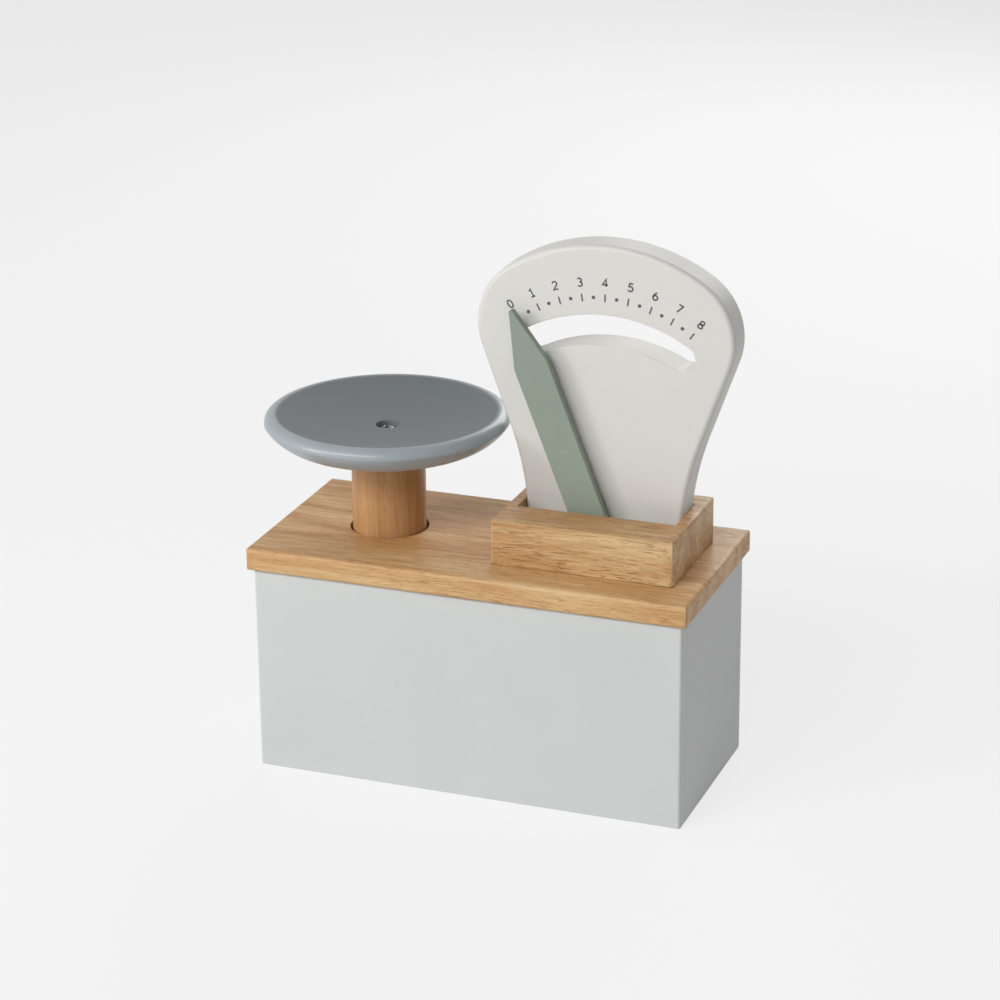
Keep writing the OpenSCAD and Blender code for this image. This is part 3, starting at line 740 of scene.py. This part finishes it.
def pointer_outline(inset):
    """The pointer's edge: its tip, left side, round foot, crank and right side."""
    half_w = POINTER_W / 2 - inset
    crank_half = CRANK_W / 2 - inset
    join = math.asin(crank_half / half_w)
    shoulder = POINTER_LEN - TAPER_LEN
    slope = math.atan2(POINTER_W / 2 - TIP_W / 2, TAPER_LEN)
    tip_half = TIP_W / 2 - inset * (1 / math.cos(slope) - math.tan(slope))
    shoulder -= inset * math.tan(slope / 2)
    points = [(tip_half, POINTER_LEN - inset), (-tip_half, POINTER_LEN - inset), (-half_w, shoulder)]
    points += arc((0, 0), half_w, 180, 360 - math.degrees(join), FOOT_STEPS)
    points += arc((CRANK_R, 0), crank_half, -90, 90, CRANK_STEPS)
    points += [(half_w, crank_half), (half_w, shoulder)]
    return leant(points)


def make_pointer():
    """The pointer, with the holes of the pivot pin and the crank pin."""
    crank_x, crank_z = leant([(CRANK_R, 0)])[0]
    loops = [
        (pointer_outline, POINTER_EDGE_R, POINTER_EDGE_STEPS),
        (round_hole(DIAL_X, PIVOT_Z, PIN_HOLE_R), HOLE_EDGE_R, HOLE_EDGE_STEPS),
        (round_hole(crank_x, crank_z, CRANK_HOLE_R), HOLE_EDGE_R, HOLE_EDGE_STEPS),
    ]
    points, faces = plate(loops, POINTER_LOW.y, POINTER_HIGH.y - POINTER_LOW.y)
    pointer = mesh_piece("pointer_painted", points, faces, MATERIALS["pointer_paint"], "pointer",
                         ["pointer"])
    flat_faces_first(pointer)


# Marks on the dial: numbers, ticks and dots in ink a hair's breadth thick

SCALE_MIDDLE = Vector((DIAL_X - 0.1 * MM, TOP_Z + 54 * MM))
SCALE_TURN = 0.5  # degrees clockwise from upright
MARK_R = 72.2 * MM
DIGIT_R = 79.6 * MM
DIGIT_H = 4.3 * MM
STROKE_W = 0.78 * MM
TICK_LEN = 3.75 * MM
TICK_W = 0.76 * MM
DOT_R = 0.88 * MM
DOT_STEPS = 12
INK_TH = 0.03 * MM  # above the dial's face, and as far below it
MITRE_LIMIT = 2  # the furthest that a stroke's corner reaches, in half widths
UNIT_TURN = 9  # degrees
UNITS = 8

# Strokes of each digit, in digit heights: across from its middle, and up from its foot
DIGIT_STROKES = {
    0: [bow(0, 0.5, 0.25, 0.44, 90, 450, 40)],
    1: [[(-0.22, 0.72), (0.02, 0.94), (0.02, 0.06)], [(-0.22, 0.06), (0.24, 0.06)]],
    2: [bow(0, 0.69, 0.25, 0.25, 165, -32) + [(-0.27, 0.06), (0.28, 0.06)]],
    3: [bow(-0.01, 0.72, 0.22, 0.22, 150, -90), bow(-0.01, 0.28, 0.27, 0.22, 90, -150)],
    4: [[(0.12, 0.06), (0.12, 0.94), (-0.28, 0.28), (0.3, 0.28)]],
    5: [[(0.22, 0.94), (-0.17, 0.94), (-0.22, 0.55)] + bow(-0.01, 0.33, 0.27, 0.27, 125, -150)],
    6: [bow(0, 0.32, 0.26, 0.26, 90, 450, 40), bow(0.24, 0.34, 0.5, 0.6, 112, 180)],
    7: [[(-0.26, 0.94), (0.27, 0.94), (-0.08, 0.06)]],
    8: [bow(0, 0.72, 0.21, 0.22, 90, 450, 40), bow(0, 0.28, 0.26, 0.23, 90, 450, 40)],
}


def ribbon(line, width):
    """Left and right edges of a stroke of even width along a line, with mitred corners."""
    loop = math.dist(line[0], line[-1]) < SAME_PLACE
    left, right = [], []
    for i, here in enumerate(line):
        before = line[i - 1] if i else (line[-2] if loop else None)
        after = line[i + 1] if i + 1 < len(line) else (line[1] if loop else None)
        ways = [Vector(b) - Vector(a) for a, b in ((before, here), (here, after)) if a and b]
        normals = [Vector((-w.y, w.x)).normalized() for w in ways]
        across = sum(normals, Vector((0, 0))).normalized()
        reach = width / 2 / max(1 / MITRE_LIMIT, across.dot(normals[0]))
        left.append(Vector(here) + across * reach)
        right.append(Vector(here) - across * reach)
    return left, right


class Ink:
    """Flat marks that are gathered in one mesh on the face of the dial."""

    def __init__(self):
        self.points, self.faces = [], []

    def strip(self, left, right, turn, radius):
        """A strip of ink about a point at a radius and a turn, in degrees clockwise from upright."""
        angle = math.radians(turn)
        out = Vector((math.sin(angle), math.cos(angle)))
        side = Vector((math.cos(angle), -math.sin(angle)))
        middle = SCALE_MIDDLE + out * radius
        start = len(self.points)
        for depth in (-INK_TH, INK_TH):
            for edge in (left, right):
                for p in edge:
                    place = middle + side * p[0] + out * p[1]
                    self.points.append((place.x, depth, place.y))
        count = len(left)
        front = [start + i for i in range(count)], [start + count + i for i in range(count)]
        back = [[i + 2 * count for i in row] for row in front]
        for i in range(count - 1):
            self.faces.append((front[0][i], front[0][i + 1], front[1][i + 1], front[1][i]))
            self.faces.append((back[0][i], back[0][i + 1], back[1][i + 1], back[1][i]))
            for near, far in zip(front, back):
                self.faces.append((near[i], near[i + 1], far[i + 1], far[i]))
        for i in (0, count - 1):
            self.faces.append((front[0][i], front[1][i], back[1][i], back[0][i]))

    def dot(self, turn, radius):
        """A round dot: its right edge, and the same mirrored."""
        right = bow(0, 0, DOT_R, DOT_R, 90, -90, DOT_STEPS)
        self.strip([(-x, y) for x, y in right], right, turn, radius)

    def digit(self, number, turn, radius):
        """The strokes of one number, about its middle."""
        for line in DIGIT_STROKES[number]:
            sized = [(x * DIGIT_H, (y - 0.5) * DIGIT_H) for x, y in line]
            left, right = ribbon(sized, STROKE_W)
            self.strip(left, right, turn, radius)


def make_marks():
    """A number for each unit, with a tick below it and a dot before it, apart from zero."""
    ink = Ink()
    first = SCALE_TURN - UNIT_TURN * UNITS / 2
    half_tick = [(-TICK_W / 2, -TICK_LEN / 2), (-TICK_W / 2, TICK_LEN / 2)]
    for number in range(UNITS + 1):
        turn = first + UNIT_TURN * number
        ink.digit(number, turn, DIGIT_R)
        if number:
            ink.strip(half_tick, [(-x, y) for x, y in half_tick], turn, MARK_R)
            ink.dot(turn - UNIT_TURN / 2, MARK_R)
    marks = mesh_piece("dial_marks", ink.points, ink.faces, MATERIALS["dial_ink"], "case")
    marks.data.shade_flat()


# Spring

COIL_R = 9 * MM
WIRE_R = 0.7 * MM
WIRE_SIDES = 12
TURNS = 9
STEPS_A_TURN = 32
END_GAP = 0.5 * MM
END_PITCH = 2 * WIRE_R + END_GAP


def make_spring():
    """The spring, with one closer turn at each end."""
    low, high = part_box("return_spring")
    first, last = low.z + WIRE_R, high.z - WIRE_R
    mid_pitch = (last - first - 2 * END_PITCH) / (TURNS - 2)
    path = []
    for i in range(TURNS * STEPS_A_TURN + 1):
        turns = i / STEPS_A_TURN
        opened = min(max(turns - 1, 0), TURNS - 2)
        rise = END_PITCH * (turns - opened) + mid_pitch * opened
        angle = 2 * math.pi * turns
        path.append(Vector((PAN_X + COIL_R * math.cos(angle), COIL_R * math.sin(angle), first + rise)))
    points, faces = tube(path, WIRE_R, WIRE_SIDES)
    spring = mesh_piece("spring_coil", points, faces, MATERIALS["spring_steel"], "case",
                        ["return_spring"])
    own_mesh(spring)


# Studio: camera, floor, lamps and world

CAMERA_PLACE = (0.5052, -1.3252, 0.6700)
CAMERA_TURN = 20.846  # degrees, to the left about the upright axis
CAMERA_DIP = 20.677  # degrees below level
CAMERA_ROLL = -0.579  # degrees
CAMERA_LENS = 113.65  # mm
CAMERA_SENSOR = 36  # mm
CAMERA_REACH = 20
FLOOR_REACH = 6
FLOOR_DROP = 0.05 * MM  # keeps the floor's face apart from the base's
FLOOR_GLOW = 0.72
WORLD_LIGHT = 0.24
WORLD_SEEN = 0.79
LAMP_TARGET = Vector((0, 0, 0.14))


def make_camera():
    """The photograph's own camera, worked out from straight edges that it shows."""
    data = bpy.data.cameras.new("camera")
    data.sensor_width = CAMERA_SENSOR
    data.lens = CAMERA_LENS
    data.clip_end = CAMERA_REACH
    camera = bpy.data.objects.new("camera", data)
    bpy.context.scene.collection.objects.link(camera)
    turn = Matrix.Rotation(math.radians(CAMERA_TURN), 4, "Z")
    tilt = Matrix.Rotation(math.radians(90 - CAMERA_DIP), 4, "X")
    roll = Matrix.Rotation(math.radians(CAMERA_ROLL), 4, "Z")
    camera.matrix_world = Matrix.Translation(CAMERA_PLACE) @ turn @ tilt @ roll
    bpy.context.scene.camera = camera


def seen_directly(tree):
    """One where the camera, a reflection or a see-through surface looks, and zero for plain light."""
    path = tree.nodes.new("ShaderNodeLightPath")
    shows = path.outputs["Is Camera Ray"]
    for ray in ("Is Glossy Ray", "Is Transmission Ray"):
        either = tree.nodes.new("ShaderNodeMath")
        either.operation = "MAXIMUM"
        tree.links.new(shows, either.inputs[0])
        tree.links.new(path.outputs[ray], either.inputs[1])
        shows = either.outputs[0]
    return shows


def make_floor():
    """A pale floor that keeps the scale's shadow and looks nearly white."""
    made = Finish("floor", Roughness=0.7, Specular_IOR_Level=0.1)
    cloud = made.noise(3, detail=2)
    made.finish(made.ramp(cloud, [(0.2, grey(0.80)), (0.8, grey(0.82))]))
    white = made.node("Emission", Color=WHITE)
    share = made.combine(seen_directly(made.tree), FLOOR_GLOW, "MULTIPLY")
    blend = made.node("MixShader", Fac=share)
    made.tree.links.new(made.shader.outputs[0], blend.inputs[1])
    made.tree.links.new(white.outputs[0], blend.inputs[2])
    made.tree.links.new(blend.outputs[0], made.tree.nodes["Material Output"].inputs["Surface"])
    corners = [(-1, -1), (1, -1), (1, 1), (-1, 1)]
    mesh = bpy.data.meshes.new("floor")
    mesh.from_pydata([(x * FLOOR_REACH, y * FLOOR_REACH, 0) for x, y in corners], [], [(0, 1, 2, 3)])
    mesh.materials.append(made.material)
    floor = bpy.data.objects.new("floor", mesh)
    floor.location.z = -FLOOR_DROP
    bpy.context.scene.collection.objects.link(floor)


def make_lamp(name, place, width, height, watts):
    """A soft box that looks at the middle of the scale."""
    data = bpy.data.lights.new(name, "AREA")
    data.shape = "RECTANGLE"
    data.size = width
    data.size_y = height
    data.energy = watts
    lamp = bpy.data.objects.new(name, data)
    lamp.location = place
    lamp.rotation_mode = "QUATERNION"
    lamp.rotation_quaternion = (LAMP_TARGET - Vector(place)).to_track_quat("-Z", "Y")
    bpy.context.scene.collection.objects.link(lamp)


def make_world():
    """As pale as the floor where the camera or a reflection sees it, and softer as a light."""
    world = bpy.data.worlds.new("studio")
    world.use_nodes = True
    bpy.context.scene.world = world
    tree = world.node_tree
    tree.nodes.clear()
    blend = tree.nodes.new("ShaderNodeMixShader")
    tree.links.new(seen_directly(tree), blend.inputs[0])
    for i, strength in ((1, WORLD_LIGHT), (2, WORLD_SEEN)):
        background = tree.nodes.new("ShaderNodeBackground")
        background.inputs["Color"].default_value = WHITE
        background.inputs["Strength"].default_value = strength
        tree.links.new(background.outputs[0], blend.inputs[i])
    output = tree.nodes.new("ShaderNodeOutputWorld")
    tree.links.new(blend.outputs[0], output.inputs["Surface"])


# The scene

bpy.context.scene.view_settings.view_transform = "Standard"
make_camera()
make_floor()
make_world()
make_lamp("key", place=(-0.4, -1.45, 1.2), width=1.5, height=0.4, watts=17)
make_lamp("side", place=(-1.3, -1.1, 0.75), width=0.5, height=0.5, watts=9)
make_lamp("back", place=(0.2, 1.4, 0.8), width=1.2, height=0.7, watts=9)
for material, nodes in KEPT_NODES.items():
    for name, edge in nodes.items():
        dress(name, material, edge * MM)
make_pan()
make_pan_screw()
make_dial()
make_pointer()
make_marks()
make_spring()
